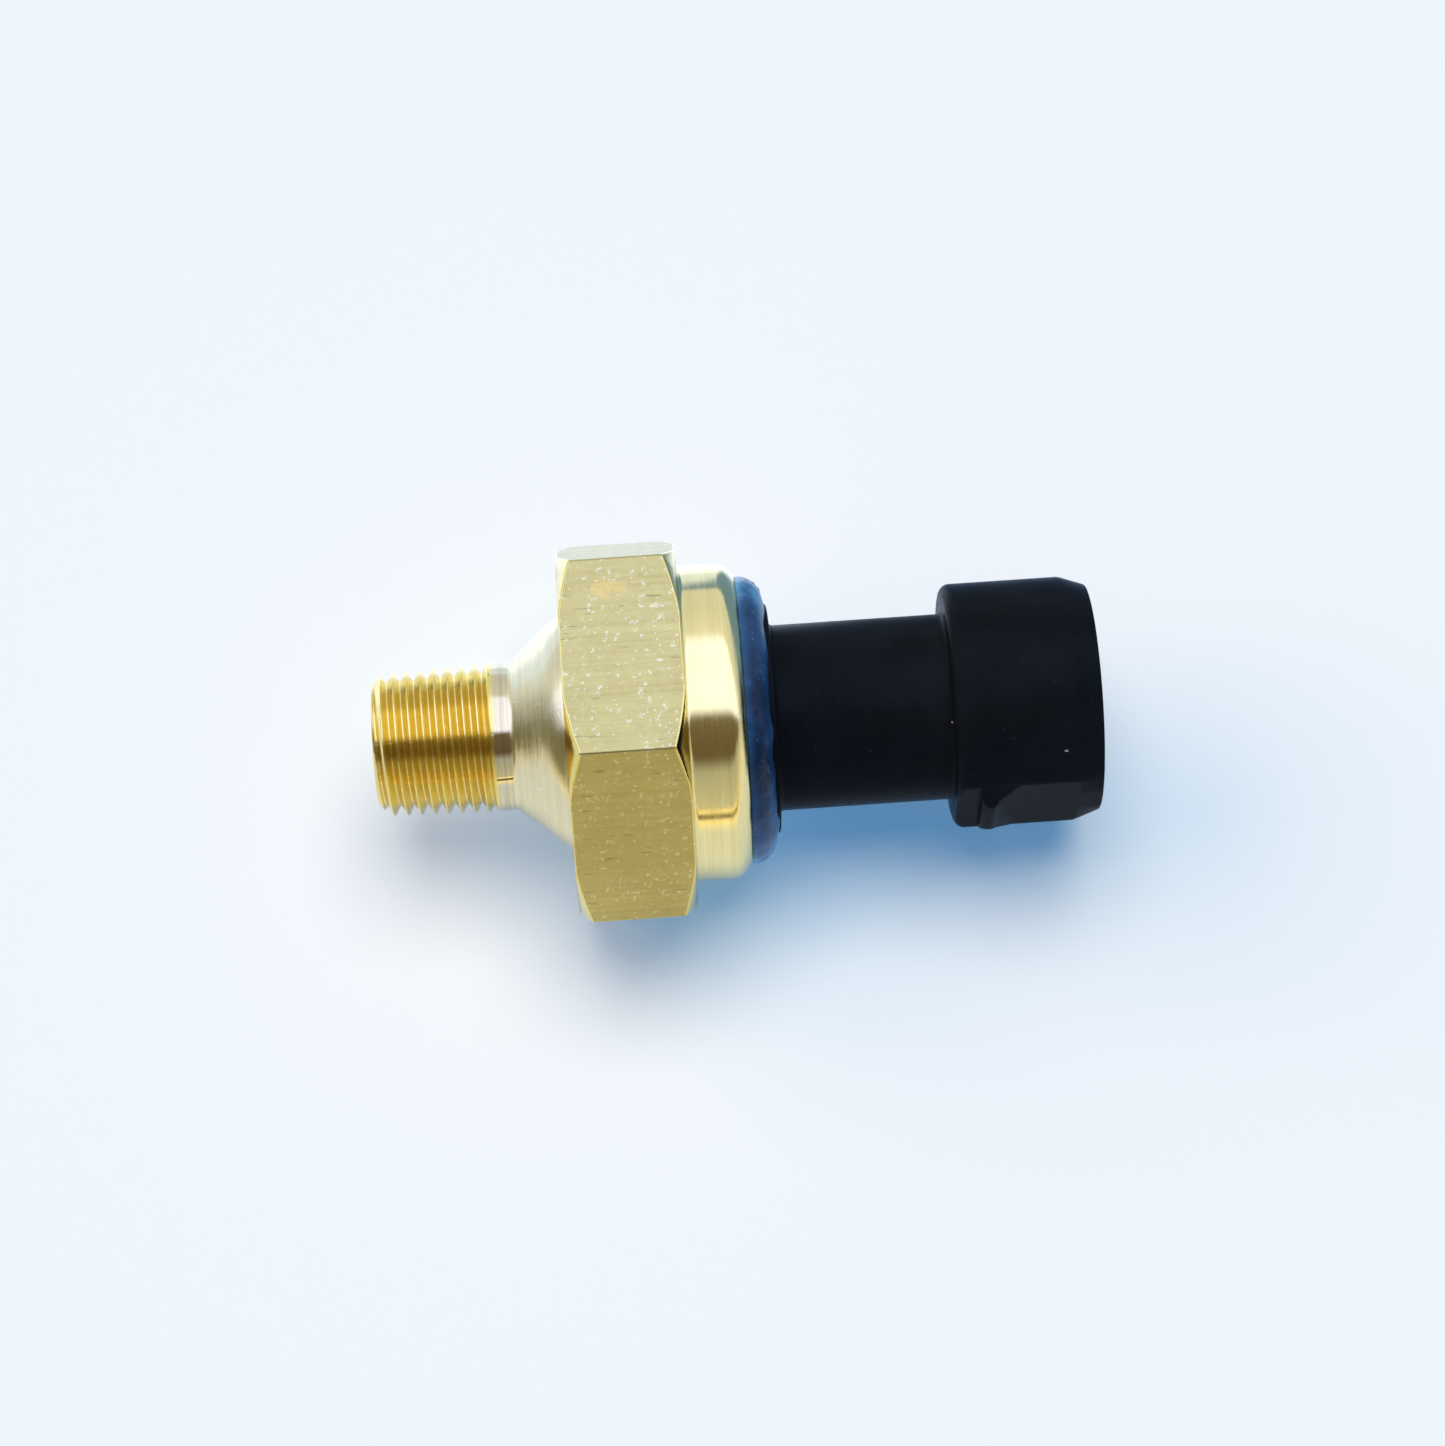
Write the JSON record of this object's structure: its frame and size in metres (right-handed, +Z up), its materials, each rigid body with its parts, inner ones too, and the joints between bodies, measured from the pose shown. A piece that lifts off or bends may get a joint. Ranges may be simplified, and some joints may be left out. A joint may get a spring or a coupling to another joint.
{
  "type": "pressure switch",
  "caption": "Brass pressure switch with a tapered male port thread, wrench hexagon, crimped collar and a round black electrical connector with a lock wedge.",
  "frame": {"origin": "centre of the hexagon flat that the switch lies on, midway along the hexagon", "axes": "+X along the switch axis from the port thread to the connector, +Z up out of the resting flat, -Y towards the connector's lock wedge"},
  "size_m": [0.0498, 0.0286, 0.0248],
  "materials": {
    "body_brass": "machined and partly polished",
    "terminal_tin": "tin plate",
    "contact_silver": "polished silver",
    "spring_steel": "plain steel",
    "arm_bronze": "rolled bronze",
    "black_nylon": "moulded, fine satin",
    "brown_phenolic": "moulded",
    "amber_film": "smooth film",
    "seal_rubber": "moulded",
    "blue_sealant": "glossy cured bead",
    "grey_potting": "cast resin"
  },
  "bodies": {
    "switch": {"switch_body": "body_brass", "port_snubber": "body_brass", "diaphragm_o_ring": "seal_rubber", "diaphragm": "amber_film", "spring_cup": "body_brass", "set_spring": "spring_steel", "set_nut": "body_brass", "contact_base": "brown_phenolic", "normally_closed_contact": "contact_silver", "normally_open_contact": "contact_silver", "common_terminal": "terminal_tin", "normally_closed_terminal": "terminal_tin", "normally_open_terminal": "terminal_tin", "terminal_potting": "grey_potting", "flange_seal": "seal_rubber", "crimp_washer": "spring_steel", "connector_housing": "black_nylon", "sealant_bead": "blue_sealant"},
    "plunger": {"pressure_piston": "spring_steel", "push_pin": "brown_phenolic"},
    "contact_lever": {"contact_arm": "arm_bronze", "moving_contact": "contact_silver"}
  },
  "joints": [
    {"name": "plunger_slide", "type": "slide", "parent": "switch", "child": "plunger", "axis": [1, 0, 0], "range_m": [0, 0.00035], "stiffness_N_per_m": 40, "springref_m": -0.0005, "deforming": ["set_spring", "diaphragm"]},
    {"name": "contact_swing", "type": "hinge", "parent": "switch", "child": "contact_lever", "pos_m": [0.00735, 0.0029, 0.0124], "axis": [0, 0, 1], "range_deg": [0, 7]}
  ],
  "couplings": [
    {"joint": "contact_swing", "follows": "plunger_slide", "rad_per_m": 344.83}
  ]
}
